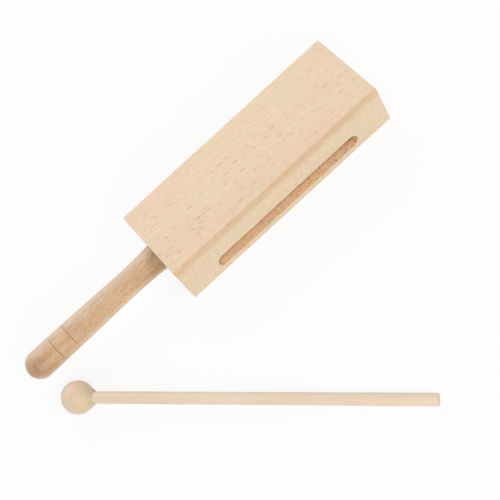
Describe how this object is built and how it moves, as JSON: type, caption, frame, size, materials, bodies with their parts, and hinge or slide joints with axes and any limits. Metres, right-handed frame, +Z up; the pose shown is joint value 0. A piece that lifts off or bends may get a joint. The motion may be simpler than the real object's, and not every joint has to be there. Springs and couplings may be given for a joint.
{
  "type": "wood block",
  "caption": "Slotted rectangular wood block on a turned handle, with its ball-headed mallet lying beside it.",
  "frame": {"origin": "centre of the block's underside, the face it rests on", "axes": "+X along the block away from its handle, +Y towards the side with the upper slot, +Z up through the block's thickness"},
  "size_m": [0.3303, 0.2658, 0.042],
  "materials": {
    "block_beech": "bare flat-sawn beech, fine-sanded and unlacquered, with ray flecks",
    "handle_beech": "turned beech, slightly pinker, fine-sanded and unlacquered",
    "head_maple": "turned pale wood with soft bands, satin",
    "stick_maple": "pale straight-grained dowel, fine-sanded"
  },
  "bodies": {
    "block_body": {"block": "block_beech", "handle": "handle_beech"},
    "mallet": {"mallet_head": "head_maple", "mallet_stick": "stick_maple"}
  },
  "joints": [
    {"name": "mallet_lift", "type": "slide", "parent": "block_body", "child": "mallet", "axis": [0, 0, 1], "range_m": [0, 0.12]}
  ]
}
